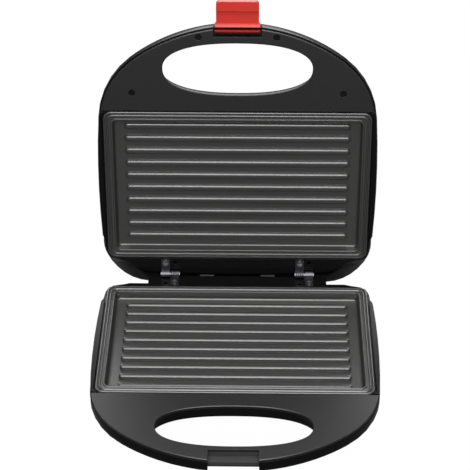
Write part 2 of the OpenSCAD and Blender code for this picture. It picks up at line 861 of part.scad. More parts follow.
module upper_plate() {
    color("#444444") in_lid() plate();
}
module upper_plate_screws() {
    color("silver") in_lid() sunk_plate_screws();
}
module upper_element() {
    color("#8a8a86") in_lid() element();
}
module upper_element_bushes() {
    color("ivory") in_lid() element_bushes();
}
module upper_clamps() {
    color("silver") in_lid() clamps();
}
module upper_reflector() {
    color("gainsboro") in_lid() reflector();
}
module upper_thermostat() {
    color("tan") in_lid() thermostat();
}
module lid_wiring() {
    color("white") in_lid() wiring(opening_d / 2 - lead_wire_r);
}

module lens(x) {
    translate([x, lens_y, -casing_h - 1]) {
        cylinder(r = lens_r - 0.05, h = wall + 1);
        translate([0, 0, -0.6]) cylinder(r1 = lens_r - 1, r2 = lens_r + 0.8, h = 1.6);
        translate([0, 0, wall + 1]) cylinder(r = lens_r - 1, h = 2);
    }
}
module power_lens() {
    color("red") in_lid() lens(-lens_x);
}
module ready_lens() {
    color("green") in_lid() lens(lens_x);
}
module neon_lamps() {
    color("orange")
        in_lid()
            for (x = [-lens_x, lens_x])
                translate([x, lens_y, -casing_h + wall + 2]) {
                    cylinder(r = 2, h = 6);
                    translate([0, 0, 6]) sphere(r = 2);
                }
}

// The bar that the latch clips on, moulded between the cheeks of the lid's notch
module latch_bar() {
    translate([-notch_w / 2, -bar_y, -bar_drop])
        rotate([0, 90, 0]) cylinder(r = bar_r, h = notch_w);
}

// The latch: a clip round the bar, a flat tab, and a hook across its tip
module latch_clip() {
    clip_w = 36;
    gap = bar_r * 0.9;
    tip_r = 3;
    face = -tab_face;
    color("#cc3b36")
        in_lid()
            translate([0, -bar_y, -bar_drop]) {
                difference() {
                    union() {
                        translate([-clip_w / 2, 0, 0]) rotate([0, 90, 0]) cylinder(r = clip_r, h = clip_w);
                        // The tab with rounded tip corners
                        translate([0, 0, bar_drop + face - latch_t])
                            linear_extrude(latch_t)
                                union() {
                                    translate([-latch_w / 2, -latch_len + tip_r])
                                        square([latch_w, latch_len - tip_r]);
                                    translate([-latch_w / 2 + tip_r, -latch_len])
                                        square([latch_w - 2 * tip_r, latch_len]);
                                    for (x = [-1, 1])
                                        translate([x * (latch_w / 2 - tip_r), -latch_len + tip_r]) circle(tip_r);
                                }
                        // The hook
                        translate([0, 0, bar_drop + face])
                            linear_extrude(hook_out)
                                union() {
                                    translate([-latch_w / 2, -latch_len + tip_r])
                                        square([latch_w, latch_len - tip_r - hook_y]);
                                    translate([-latch_w / 2 + tip_r, -latch_len])
                                        square([latch_w - 2 * tip_r, latch_len - hook_y]);
                                    for (x = [-1, 1])
                                        translate([x * (latch_w / 2 - tip_r), -latch_len + tip_r]) circle(tip_r);
                                }
                    }
                    translate([-clip_w, 0, 0]) rotate([0, 90, 0]) cylinder(r = bar_r + pin_play, h = 2 * clip_w);
                    translate([-clip_w, -gap, 0]) cube([2 * clip_w, 2 * gap, clip_r + cut]);
                }
            }
}

base_shell();
base_handle_cover();
base_cover_screws();
lower_plate();
lower_plate_screws();
lower_element();
lower_element_bushes();
lower_clamps();
lower_reflector();
lower_thermostat();
thermal_fuse();
terminal_block();
base_wiring();
rubber_feet();
cord_bush();
base_hinge_leaves();
hinge_pins();
base_hinge_screws();
lid_shell();
lid_handle_cover();
lid_cover_screws();
upper_plate();
upper_plate_screws();
upper_element();
upper_element_bushes();
upper_clamps();
upper_reflector();
upper_thermostat();
lid_wiring();
power_lens();
ready_lens();
neon_lamps();
lid_hinge_leaves();
lid_hinge_screws();
latch_clip();
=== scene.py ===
"""Dresses an open sandwich toaster: smooth casings, coated plates, a red latch and steel hinges."""

import json
import math

import bmesh
import bpy
from mathutils import Matrix, Vector


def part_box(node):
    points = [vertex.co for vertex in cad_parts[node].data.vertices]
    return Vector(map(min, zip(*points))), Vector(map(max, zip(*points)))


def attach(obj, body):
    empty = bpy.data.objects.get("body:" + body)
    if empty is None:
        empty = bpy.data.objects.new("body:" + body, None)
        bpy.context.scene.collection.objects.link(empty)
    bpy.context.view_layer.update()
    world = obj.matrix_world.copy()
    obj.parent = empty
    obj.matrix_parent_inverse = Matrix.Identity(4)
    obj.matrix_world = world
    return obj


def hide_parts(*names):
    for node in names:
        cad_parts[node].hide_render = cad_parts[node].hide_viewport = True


bl_info = {
    "name": "Sandwich toaster",
    "version": (1, 0, 0),
    "blender": (4, 5, 0),
    "location": "View3D > Sidebar > Toaster",
    "description": "Builds the looks of a hinged sandwich toaster round its CAD frame",
    "category": "Object",
}

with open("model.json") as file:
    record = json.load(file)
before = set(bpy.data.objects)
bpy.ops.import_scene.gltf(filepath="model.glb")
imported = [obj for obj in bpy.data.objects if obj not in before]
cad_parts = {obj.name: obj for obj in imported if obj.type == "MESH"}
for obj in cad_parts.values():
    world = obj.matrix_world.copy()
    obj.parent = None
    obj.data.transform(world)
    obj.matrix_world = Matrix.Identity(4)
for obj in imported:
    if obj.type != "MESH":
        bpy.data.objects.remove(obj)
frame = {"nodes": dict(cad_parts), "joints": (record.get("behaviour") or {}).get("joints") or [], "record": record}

# Places that the pieces share, in metres

MM = 0.001
PLATE_LOW, PLATE_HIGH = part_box("lower_plate")
PLATE_WIDTH = PLATE_HIGH.x - PLATE_LOW.x
PLATE_DEPTH = 0.135
RIM_Z = PLATE_HIGH.z
HINGE = next(j for j in frame["joints"] if j["name"] == "lid_hinge")
HINGE_POINT = Vector(HINGE["pos_m"])
HINGE_RISE = HINGE_POINT.z - RIM_Z
HINGE_BEHIND_PLATE = 0.0153
OPEN_ANGLE = math.radians(HINGE["range_deg"][1])
PLATE_Y = HINGE_POINT.y - PLATE_DEPTH / 2 - HINGE_BEHIND_PLATE


def half_place(lid):
    """Places what is drawn face up with its rim at z = 0 and the plate's middle at the origin.

    In the base it stays as it is, and in the lid it is mirrored and swung open.
    """
    if not lid:
        return Matrix.Translation((0, PLATE_Y, RIM_Z))
    back = Matrix.Translation((0, PLATE_Y - HINGE_POINT.y, -HINGE_RISE))
    mirror = Matrix.Diagonal((1, 1, -1, 1))
    swing = Matrix.Rotation(-OPEN_ANGLE, 4, "X")
    return Matrix.Translation(HINGE_POINT) @ swing @ mirror @ back


# Sizes and colours that a user may change


class PlateSizes(bpy.types.PropertyGroup):
    """Sizes of the cooking plates"""

    ridges: bpy.props.IntProperty(
        name="Ridges", description="Ridges on each plate", default=10, min=1
    )
    pitch: bpy.props.FloatProperty(
        name="Ridge pitch", description="Spacing of the ridges", default=0.0113, unit="LENGTH"
    )
    length: bpy.props.FloatProperty(
        name="Ridge length",
        description="Length with both round ends",
        default=0.186,
        unit="LENGTH",
    )
    height: bpy.props.FloatProperty(
        name="Ridge height",
        description="Height over the plate's floor",
        default=0.0032,
        unit="LENGTH",
    )
    drop: bpy.props.FloatProperty(
        name="Tray depth",
        description="Depth of the floor under the rim",
        default=0.0076,
        unit="LENGTH",
    )
    corner: bpy.props.FloatProperty(
        name="Corner radius",
        description="Radius of the rim's corners",
        default=0.0065,
        unit="LENGTH",
    )


class FinishColours(bpy.types.PropertyGroup):
    """Colours of the outer pieces, as sRGB hex codes"""

    casing: bpy.props.StringProperty(
        name="Casings", description="Gloss black of the casings", default="#0b0b0c"
    )
    panel: bpy.props.StringProperty(
        name="Handle panels", description="Satin black of the panels", default="#0a0a0b"
    )
    coating: bpy.props.StringProperty(
        name="Plates", description="Dark grey of the non-stick coating", default="#2b2b2a"
    )
    latch: bpy.props.StringProperty(
        name="Latch", description="Red of the latch", default="#cc342b"
    )


# Colours and nodes


def linear(code):
    """Turns an sRGB hex colour into the linear numbers that a shader takes."""
    parts = [int(code[i : i + 2], 16) / 255 for i in (1, 3, 5)]
    shades = [c / 12.92 if c <= 0.04045 else ((c + 0.055) / 1.055) ** 2.4 for c in parts]
    return (*shades, 1.0)


def add_node(tree, kind, links=None, **settings):
    """Adds a node, sets its sockets or properties by name and joins its inputs to other nodes."""
    node = tree.nodes.new(kind)
    for name, value in settings.items():
        title = name.replace("_", " ")
        if title in node.inputs:
            node.inputs[title].default_value = value
        else:
            setattr(node, name, value)
    for name, (source, output) in (links or {}).items():
        tree.links.new(source.outputs[output], node.inputs[name])
    return node


BLOTCHES_PER_METRE = 40.0


def moulded(
    name,
    colour,
    roughness,
    ior=1.5,
    grain=1.0,
    depth=0.01,
    drift=0.15,
    gloss_drift=0.06,
    edge=0.3,
    stretch=(1, 1, 1),
):
    """A plastic, rubber, ceramic or coated surface. grain, depth and edge are in millimetres.

    Most of these grains are finer than the picture shows, so they are drawn coarser than they are.
    """
    material = bpy.data.materials.new(name)
    material.use_nodes = True
    tree = material.node_tree
    shader = tree.nodes["Principled BSDF"]
    shader.inputs["IOR"].default_value = ior
    place = add_node(tree, "ShaderNodeTexCoord")
    spread = add_node(tree, "ShaderNodeMapping", {"Vector": (place, "Object")}, Scale=stretch)
    at = {"Vector": (spread, "Vector")}
    broad = add_node(tree, "ShaderNodeTexNoise", at, Scale=BLOTCHES_PER_METRE, Detail=3.0)
    fine = add_node(tree, "ShaderNodeTexNoise", at, Scale=1 / (grain * MM), Detail=2.0)

    # The colour drifts a little over the piece
    tint = add_node(tree, "ShaderNodeMix", {"Factor": (broad, "Fac")}, data_type="RGBA")
    for socket, share in ((6, 1 - drift), (7, 1 + drift)):
        red, green, blue, opaque = linear(colour)
        shade = (red * share, green * share, blue * share, opaque)
        tint.inputs[socket].default_value = shade
    tree.links.new(tint.outputs[2], shader.inputs["Base Color"])

    # The grain changes the gloss and the height
    gloss = add_node(
        tree,
        "ShaderNodeMapRange",
        {"Value": (fine, "Fac")},
        To_Min=roughness - gloss_drift,
        To_Max=roughness + gloss_drift,
    )
    tree.links.new(gloss.outputs[0], shader.inputs["Roughness"])
    round_edge = add_node(tree, "ShaderNodeBevel", samples=6, Radius=edge * MM)
    relief = {"Height": (fine, "Fac"), "Normal": (round_edge, "Normal")}
    bump = add_node(tree, "ShaderNodeBump", relief, Distance=depth * MM)
    tree.links.new(bump.outputs[0], shader.inputs["Normal"])
    return material


def metal(name, colour, roughness, grain=0.4, depth=0.01, drift=0.1, edge=0.15, stretch=(1, 1, 1)):
    """A bare or plated metal, at the default IOR, with its tool marks or plating grain."""
    material = moulded(
        name, colour, roughness, drift=drift, gloss_drift=0.08,
        grain=grain, depth=depth, edge=edge, stretch=stretch,
    )
    material.node_tree.nodes["Principled BSDF"].inputs["Metallic"].default_value = 1.0
    return material


# Finishes, each made once

CLEAR_SHARE = 0.5

finishes = {}


def make_finishes(colours):
    """Makes the material of every real finish on the toaster."""
    # Gloss black ABS casings: polished mould, so a tight highlight over a nearly black body
    finishes["casing"] = moulded(
        "abs_gloss_black", colours.casing, roughness=0.2, ior=1.27, drift=0.1, gloss_drift=0.04,
        grain=0.8, depth=0.002, edge=0.5,
    )
    # Satin black ABS handle panels: an etched mould spreads the studio's light into an even grey
    finishes["panel"] = moulded(
        "abs_satin_panel", colours.panel, roughness=0.42, ior=1.68, drift=0.06, gloss_drift=0.04,
        grain=0.5, depth=0.004, edge=0.3,
    )
    # The same plastic in the latch's notch, duller, and painted a lighter grey: painted light that stands in for
    # the light falling on the notch's floor and lip
    finishes["notch"] = moulded(
        "abs_notch_painted_light", "#3a3a3b", roughness=0.5, ior=1.5, drift=0.06, gloss_drift=0.04,
        grain=0.5, depth=0.004, edge=0.2,
    )
    # Sprayed non-stick coating on cast aluminium: dark grey, with the spray's orange peel and fleck
    finishes["coating"] = moulded(
        "nonstick_coated_aluminium", colours.coating, roughness=0.33, ior=1.95, drift=0.12,
        gloss_drift=0.08, grain=0.7, depth=0.02, edge=0.2,
    )
    # Polypropylene latch, dyed right through: waxy, softer highlight than the ABS
    finishes["latch"] = moulded(
        "polypropylene_red", colours.latch, roughness=0.34, ior=1.49, drift=0.06, gloss_drift=0.05,
        grain=0.9, depth=0.006, edge=0.35,
    )
    # Folded steel hinge leaves, zinc plated and darkened by heat: grey, with blurred highlights
    finishes["hinge"] = metal(
        "zinc_plated_hinge_steel", "#5a5a5d", roughness=0.34, drift=0.15,
        grain=0.3, depth=0.01, edge=0.12,
    )
    # Screws, zinc plated over drawn wire: brighter than the hinges
    finishes["screw"] = metal(
        "zinc_plated_screw_steel", "#8a8a8c", roughness=0.34, drift=0.1,
        grain=0.3, depth=0.01, edge=0.08,
    )
    # Blackened screws of the lid's handle panel: they hardly show against it
    finishes["black_screw"] = metal(
        "black_oxide_screw_steel", "#2a2a2c", roughness=0.4, drift=0.1,
        grain=0.3, depth=0.01, edge=0.08,
    )
    # Annealed stainless sheath of the tubular elements: dull and slightly straw coloured
    finishes["sheath"] = metal(
        "annealed_stainless_sheath", "#8b857a", roughness=0.5, drift=0.15,
        grain=0.5, depth=0.02, edge=0.1,
    )
    # Rolled aluminium reflectors: bright, with faint streaks along the rolling direction
    finishes["reflector"] = metal(
        "rolled_aluminium_sheet", "#d4d5d6", roughness=0.25, drift=0.05,
        grain=0.6, depth=0.004, edge=0.1, stretch=(1, 12, 1),
    )
    # Steatite of the bushes and terminal blocks, unglazed: off-white and chalky
    finishes["ceramic"] = moulded(
        "steatite_ceramic", "#e2dccd", roughness=0.6, ior=1.55, drift=0.04, gloss_drift=0.05,
        grain=0.4, depth=0.02, edge=0.3,
    )
    # Pressed phenolic resin of the thermostats: tan, mottled and half matt
    finishes["phenolic"] = moulded(
        "phenolic_resin", "#8a6a48", roughness=0.5, ior=1.6, drift=0.1, gloss_drift=0.05,
        grain=0.5, depth=0.01, edge=0.3,
    )
    # Woven glass sleeve on the fixed wiring: off-white, rough and without a highlight
    finishes["sleeve"] = moulded(
        "woven_glass_sleeve", "#d9d8d2", roughness=0.8, ior=1.5, drift=0.08, gloss_drift=0.05,
        grain=0.6, depth=0.05, edge=0.1,
    )
    # Moulded rubber feet, outlet bush and lid stops: matt, faintly dusty black
    finishes["rubber"] = moulded(
        "moulded_rubber", "#161616", roughness=0.75, ior=1.52, drift=0.2, gloss_drift=0.05,
        grain=0.6, depth=0.02, edge=0.5,
    )
    # Tinted acrylic lenses, from a polished mould: deep colour and a mirror-like surface
    finishes["red_lens"] = moulded(
        "tinted_acrylic_red", "#b3140f", roughness=0.12, ior=1.49, drift=0.05, gloss_drift=0.02,
        grain=1.0, depth=0.002, edge=0.3,
    )
    finishes["green_lens"] = moulded(
        "tinted_acrylic_green", "#1c7a35", roughness=0.12, ior=1.49, drift=0.05, gloss_drift=0.02,
        grain=1.0, depth=0.002, edge=0.3,
    )
    # Blown glass of the neon lamps behind the lenses: clear, with the warm tint of what it holds
    finishes["lamp"] = moulded(
        "lamp_glass", "#d8b49a", roughness=0.1, ior=1.5, drift=0.05, gloss_drift=0.02,
        grain=1.0, depth=0.002, edge=0.1,
    )
    for name in ("red_lens", "green_lens", "lamp"):
        shader = finishes[name].node_tree.nodes["Principled BSDF"]
        shader.inputs["Transmission Weight"].default_value = CLEAR_SHARE


# Pieces

MERGE_REACH = 0.00002
SHADING_WEIGHT = 80
# Edges that turn by more than this many degrees stay sharp
MOULDED_SHARP = 32
PLATE_SHARP = 40
FOLD_SHARP = 25


def finish_piece(
    bm, name, body, finish, replaces=(), sharp=MOULDED_SHARP, place=None, outward=True
):
    """Turns a bmesh into a finished piece that rides a body and stands for the nodes it replaces."""
    if place is not None:
        bmesh.ops.transform(bm, matrix=place, verts=bm.verts)
        if place.determinant() < 0:
            bmesh.ops.reverse_faces(bm, faces=bm.faces)
    if outward:
        bmesh.ops.recalc_face_normals(bm, faces=bm.faces)
    for face in bm.faces:
        face.smooth = True
    for edge in bm.edges:
        if len(edge.link_faces) == 2:
            edge.smooth = edge.calc_face_angle(0) < math.radians(sharp)
    mesh = bpy.data.meshes.new(name)
    bm.to_mesh(mesh)
    bm.free()
    piece = bpy.data.objects.new(name, mesh)
    bpy.context.scene.collection.objects.link(piece)
    mesh.materials.append(finishes[finish])
    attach(piece, body)
    if replaces:
        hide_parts(*replaces)
    return piece


def refinish(piece, finish, place, test):
    """Gives another finish to faces whose middle, in the flat half's millimetres, passes a test."""
    piece.data.materials.append(finishes[finish])
    flat = place.inverted()
    for face in piece.data.polygons:
        if test(*(c / MM for c in flat @ face.center)):
            face.material_index = len(piece.data.materials) - 1


def ramp(value, start, end):
    """Rises evenly from 0 at the start to 1 at the end, and stays level outside."""
    return min(1.0, max(0.0, (value - start) / (end - start)))


def eased(value, start, end):
    """The same rise with soft ends."""
    share = ramp(value, start, end)
    return share * share * (3 - 2 * share)


# The rear corners' fill, in the flat half's millimetres: along the side it swells between the first
# two places and fades between the last two, and it fades toward the middle and the casing's bottom
FILL_ALONG = (46, 68, 70, 96)
FILL_SIDE = (86, 100)
FILL_HEIGHT = (-30, -4)
FILL_WIDTH = 8.6
FILL_CUT_SPACING = 3


def fill_rear_corners(bm, place):
    """Carries a casing's wide rim on round its rear corners, where the solid's slope draws it in."""
    bmesh.ops.transform(bm, matrix=place.inverted(), verts=bm.verts)
    for y in range(FILL_ALONG[0], FILL_ALONG[3] + FILL_CUT_SPACING, FILL_CUT_SPACING):
        geometry = bm.verts[:] + bm.edges[:] + bm.faces[:]
        bmesh.ops.bisect_plane(bm, geom=geometry, plane_co=(0, y * MM, 0), plane_no=(0, 1, 0))
    for vert in bm.verts:
        x, y, z = (c / MM for c in vert.co)
        along = eased(y, *FILL_ALONG[:2]) * (1 - eased(y, *FILL_ALONG[2:]))
        share = along * ramp(z, *FILL_HEIGHT) * eased(abs(x), *FILL_SIDE)
        vert.co.x += math.copysign(FILL_WIDTH * MM * share, x)
    bmesh.ops.transform(bm, matrix=place, verts=bm.verts)


def dressed_copy(node, name, body, finish, sharp=MOULDED_SHARP, corners=None):
    """A merged copy of a CAD node, shaded smooth on its curved walls, for pieces of its shape.

    With the place of its half as corners, its rear corners are filled.
    """
    bm = bmesh.new()
    bm.from_mesh(frame["nodes"][node].data)
    bmesh.ops.remove_doubles(bm, verts=bm.verts, dist=MERGE_REACH)
    if corners is not None:
        fill_rear_corners(bm, corners)
    piece = finish_piece(
        bm, name, body, finish, replaces=(node,), sharp=sharp, outward=False
    )
    weighted = piece.modifiers.new("even_shading", "WEIGHTED_NORMAL")
    weighted.keep_sharp = True
    weighted.weight = SHADING_WEIGHT
    return piece


class TOASTER_OT_inner_finishes(bpy.types.Operator):
    """Makes the finishes and gives each CAD piece that of the real one"""

    bl_idname = "toaster.inner_finishes"
    bl_label = "Finishes"

    def execute(self, context):
        make_finishes(context.scene.toaster_colours)
        by_slot = {
            "casing_black": "casing",
            "cover_black": "panel",
            "coated_plate": "coating",
            "hinge_steel": "hinge",
            "screw_steel": "screw",
            "reflector_aluminium": "reflector",
            "element_sheath": "sheath",
            "ceramic_white": "ceramic",
            "thermostat_tan": "phenolic",
            "lead_sleeve": "sleeve",
            "rubber_black": "rubber",
            "lens_red": "red_lens",
            "lens_green": "green_lens",
            "lamp_glass": "lamp",
            "latch_red": "latch",
        }
        slots = {s["node"]: s["material_slot"] for s in frame["record"]["subparts"]}
        for node, piece in frame["nodes"].items():
            finish = "black_screw" if node == "lid_cover_screws" else by_slot[slots[node]]
            piece.data.materials.clear()
            piece.data.materials.append(finishes[finish])
        return {"FINISHED"}


# Casings and handle panels, in the flat half's millimetres

NOTCH_HALF_WIDTH = 19.3
NOTCH_FROM_Y = -128
NOTCH_FROM_Z = -13
STOP_NEAR_X, STOP_FAR_X = 19.9, 32.1
STOP_FROM_Y = 83.6
STOP_FROM_Z = -30


def in_notch(x, y, z):
    """Tells the floor and lip of the latch's notch from the rest of the base casing."""
    return abs(x) < NOTCH_HALF_WIDTH and y < NOTCH_FROM_Y and z > NOTCH_FROM_Z


def on_stop(x, y, z):
    """Tells the two ribs that the open lid leans on from the rest of the base casing."""
    return STOP_NEAR_X < abs(x) < STOP_FAR_X and y > STOP_FROM_Y and z > STOP_FROM_Z


class TOASTER_OT_casings(bpy.types.Operator):
    """Builds the two casings and the two handle panels"""

    bl_idname = "toaster.casings"
    bl_label = "Casings and handle panels"

    def execute(self, context):
        flat = half_place(False)
        casing = dressed_copy(
            "base_shell", "base_casing", "base", "casing", corners=flat
        )
        # The notch's floor and lip get a lighter grey, painted light standing in for the light they catch, and the
        # stop ribs are matt where the lid leans on them
        refinish(casing, "notch", flat, in_notch)
        refinish(casing, "rubber", flat, on_stop)
        dressed_copy(
            "lid_shell", "lid_casing", "lid", "casing", corners=half_place(True)
        )
        dressed_copy("base_handle_cover", "base_panel", "base", "panel")
        dressed_copy("lid_handle_cover", "lid_panel", "lid", "panel")
        return {"FINISHED"}


# Cooking plates, in millimetres. A station is a loop round the plate: how far it lies inside the
# plate's edge, its height over the rim's plane, and how much smaller its corner radius is. No two
# stations that are joined have the same height.

RIM_STATIONS = (
    # skirt and its rounded top
    (0.0, -2.0, 0.0),
    (0.0, -0.8, 0.0),
    (0.25, -0.35, 0.1),
    (0.8, -0.1, 0.3),
    (1.35, -0.16, 0.6),
    # groove
    (1.7, -1.2, 0.8),
    (2.4, -1.3, 1.0),
    # bead
    (2.9, -0.2, 1.2),
    (3.3, 0.0, 1.4),
    (3.8, -0.06, 1.6),
    # shallow step
    (4.3, -0.85, 1.7),
    (5.9, -0.95, 2.0),
    # inner bead, which rounds over into the tray
    (6.4, -0.22, 2.3),
    (6.9, -0.1, 2.5),
    (7.45, -0.4, 2.6),
    (7.8, -1.35, 2.8),
)
# The same, with the height over the tray's floor
TRAY_STATIONS = ((8.3, 1.2, 3.5), (8.6, 0.45, 3.8), (9.1, 0.1, 4.1), (9.9, 0.0, 4.5))
UNDERSIDE_INSET = 7.5
UNDERSIDE_TOP = -2.1
UNDERSIDE_CORNER_CUT = 1.5
FLOOR_THICKNESS = 2.0

# Half of a ridge's section from its foot, just under the floor: distance from its middle, height
RIDGE_SECTION = (
    (2.35, -0.2),
    (2.48, 0.3),
    (2.66, 0.8),
    (2.72, 1.3),
    (2.66, 1.8),
    (2.44, 2.3),
    (2.04, 2.75),
    (1.44, 3.05),
)
# Its last point beside the middle: distance from the middle, distance under the top
RIDGE_CROWN = (0.75, 0.04)
RIDGE_END_RADIUS = 2.7
RIDGE_END_STEPS = 10
RIDGE_ROW_SHIFT = 2.0
CORNER_STEPS = 6
SAME_PLACE = 1e-6
SAME_HEIGHT = 1e-9


def rounded_loop(bm, width, depth, radius, z):
    """A closed loop of edges round a rectangle with rounded corners."""
    corners = bmesh.ops.create_grid(bm, x_segments=1, y_segments=1, size=0.5)["verts"]
    bmesh.ops.scale(bm, vec=(width, depth, 1), verts=corners)
    bmesh.ops.translate(bm, vec=(0, 0, z), verts=corners)
    bmesh.ops.bevel(
        bm,
        geom=corners,
        offset=radius,
        offset_type="OFFSET",
        segments=CORNER_STEPS,
        profile=0.5,
        affect="VERTICES",
        material=-1,
    )
    face = next(
        f
        for f in bm.faces
        if len(f.verts) == 4 * (CORNER_STEPS + 1)
        and all(abs(v.co.z - z) < SAME_HEIGHT for v in f.verts)
    )
    edges = list(face.edges)
    bmesh.ops.delete(bm, geom=[face], context="FACES_ONLY")
    return edges


def plate_loop(bm, sizes, inset, height, corner_cut):
    """The loop of one station of a plate."""
    inward = 2 * inset * MM
    radius = sizes.corner - corner_cut * MM
    return rounded_loop(bm, PLATE_WIDTH - inward, PLATE_DEPTH - inward, radius, height * MM)


def spin_half(bm, geometry, middle):
    """Spins a section half round an upright axis and gives the edges where it ends."""
    spun = bmesh.ops.spin(
        bm,
        geom=geometry,
        cent=middle,
        axis=(0, 0, 1),
        angle=math.pi,
        steps=RIDGE_END_STEPS,
        use_merge=False,
    )
    return [e for e in spun["geom_last"] if isinstance(e, bmesh.types.BMEdge)]


def draw_along(bm, edges, way):
    """Draws a section sideways and gives its vertices and edges at the far end."""
    drawn = bmesh.ops.extrude_edge_only(bm, edges=edges)["geom"]
    moved = [v for v in drawn if isinstance(v, bmesh.types.BMVert)]
    bmesh.ops.translate(bm, vec=(way, 0, 0), verts=moved)
    made = [e for e in drawn if isinstance(e, bmesh.types.BMEdge)]
    return moved + [e for e in made if all(v in moved for v in e.verts)]


def add_ridge(bm, y, floor, sizes):
    """A round-topped bar: half its section goes round one end, along, round the other and back."""
    run = sizes.length - 2 * RIDGE_END_RADIUS * MM
    right, left = Vector((run / 2, y, floor)), Vector((-run / 2, y, floor))
    side, under = RIDGE_CROWN
    height = sizes.height / MM
    section = [*RIDGE_SECTION, (side, height - under), (0, height)]
    verts = [bm.verts.new((right.x, y - r * MM, floor + h * MM)) for r, h in section]
    chain = [bm.edges.new(pair) for pair in zip(verts, verts[1:])]
    far_side = draw_along(bm, spin_half(bm, verts + chain, right), -run)
    draw_along(bm, spin_half(bm, far_side, left), run)


def build_ridges(sizes, floor):
    """All ridges of a plate as one mesh, with their faces outward."""
    bm = bmesh.new()
    first = (sizes.ridges - 1) * sizes.pitch / 2 - RIDGE_ROW_SHIFT * MM
    for i in range(sizes.ridges):
        add_ridge(bm, first - i * sizes.pitch, floor, sizes)
    bmesh.ops.remove_doubles(bm, verts=bm.verts, dist=SAME_PLACE)
    bmesh.ops.recalc_face_normals(bm, faces=bm.faces)
    # The ridges are open underneath, so the faces of their tops tell which way is out
    if sum(f.normal.z for f in bm.faces if abs(f.normal.z) > 0.5) < 0:
        bmesh.ops.reverse_faces(bm, faces=bm.faces)
    mesh = bpy.data.meshes.new("ridges")
    bm.to_mesh(mesh)
    bm.free()
    return mesh


def build_plate(sizes, lid):
    """A cast plate: its stepped rim, sloping walls, floor with ridges, and flat underside.

    The ears and hooks that hold the solid plate are left out, because the casing hides them.
    """
    bm = bmesh.new()
    floor = -sizes.drop / MM
    loops = [plate_loop(bm, sizes, *station) for station in RIM_STATIONS]
    loops += [plate_loop(bm, sizes, inset, floor + h, cut) for inset, h, cut in TRAY_STATIONS]
    for outer, inner in zip(loops, loops[1:]):
        bmesh.ops.bridge_loops(bm, edges=outer + inner)
    bmesh.ops.contextual_create(bm, geom=loops[-1])
    below = [
        plate_loop(bm, sizes, UNDERSIDE_INSET, height, UNDERSIDE_CORNER_CUT)
        for height in (UNDERSIDE_TOP, floor - FLOOR_THICKNESS)
    ]
    bmesh.ops.bridge_loops(bm, edges=loops[0] + below[0])
    bmesh.ops.bridge_loops(bm, edges=below[0] + below[1])
    bmesh.ops.contextual_create(bm, geom=below[1])
    bmesh.ops.remove_doubles(bm, verts=bm.verts, dist=SAME_PLACE)
    bmesh.ops.recalc_face_normals(bm, faces=bm.faces)
    ridges = build_ridges(sizes, -sizes.drop)
    bm.from_mesh(ridges)
    bpy.data.meshes.remove(ridges)
    name = "upper" if lid else "lower"
    finish_piece(
        bm,
        name + "_coated_plate",
        "lid" if lid else "base",
        "coating",
        replaces=(name + "_plate",),
        sharp=PLATE_SHARP,
        place=half_place(lid),
        outward=False,
    )


class TOASTER_OT_plates(bpy.types.Operator):
    """Builds the two coated cooking plates with their ridges"""

    bl_idname = "toaster.plates"
    bl_label = "Cooking plates"

    def execute(self, context):
        for lid in (False, True):
            build_plate(context.scene.toaster_plate, lid)
        return {"FINISHED"}


class TOASTER_OT_latch(bpy.types.Operator):
    """Builds the red latch clip"""

    bl_idname = "toaster.latch"
    bl_label = "Latch"

    def execute(self, context):
        dressed_copy("latch_clip", "latch", "latch", "latch")
        return {"FINISHED"}


# Hinges, in millimetres

RIB_SECTION = ((-0.5, 3.1), (-0.4, 3.45), (0.0, 3.65), (0.4, 3.45), (0.5, 3.1))
RIB_STEPS = 32
RIBS = 4
RIB_SPACING = 1.8
INNER_KNUCKLE_X = 53.3


def add_rib(bm, x):
    """A shallow pressed rib round a hinge knuckle."""
    middle = Vector((x * MM, HINGE_POINT.y, HINGE_POINT.z))
    verts = [
        bm.verts.new((middle.x + across * MM, middle.y, middle.z + radius * MM))
        for across, radius in RIB_SECTION
    ]
    edges = [bm.edges.new(pair) for pair in zip(verts, verts[1:] + verts[:1])]
    bmesh.ops.spin(
        bm,
        geom=verts + edges,
        cent=middle,
        axis=(1, 0, 0),
        angle=math.tau,
        steps=RIB_STEPS,
        use_merge=True,
    )


class TOASTER_OT_hinges(bpy.types.Operator):
    """Gives the hinges their folded and rolled steel"""

    bl_idname = "toaster.hinges"
    bl_label = "Hinges"

    def execute(self, context):
        for body in ("base", "lid"):
            leaves, hinges = body + "_hinge_leaves", body + "_hinges"
            dressed_copy(leaves, hinges, body, "hinge", sharp=FOLD_SHARP)
        # The inner knuckle is ribbed: that of the base on the left hinge, of the lid on the right
        for body, side in (("base", -1), ("lid", 1)):
            bm = bmesh.new()
            for i in range(RIBS):
                add_rib(bm, side * INNER_KNUCKLE_X + (i - (RIBS - 1) / 2) * RIB_SPACING)
            finish_piece(bm, body + "_knuckle_ribs", body, "hinge")
        return {"FINISHED"}


# Stage. Lengths are in metres, powers in watts and angles in radians.

FLOOR_HALF_SIZE = 6.0
FLOOR_GREY = "#5e5e5e"
FLOOR_ROUGHNESS = 0.9
# What the camera sees of the floor is mostly this glow, which leaves a faint shadow
FLOOR_GLOW = 1.16
FLOOR_GLOW_SHARE = 0.85
FILL_STRENGTH = 0.08
# The share of the white background that shows in glossy and clear pieces
MIRRORED_SHARE = 0.3

# Name, place, what it points at, width and height, power
SOFTBOXES = (
    ("back_softbox", (0.0, 1.25, 0.75), (0, 0, 0.05), (1.7, 0.5), 12.0),
    ("overhead_softbox", (0.0, -0.1, 1.4), (0, 0, 0.05), (1.2, 0.8), 11.0),
    ("front_softbox", (0.0, -1.3, 1.25), (0, 0.0, 0.12), (1.3, 0.7), 25.0),
)

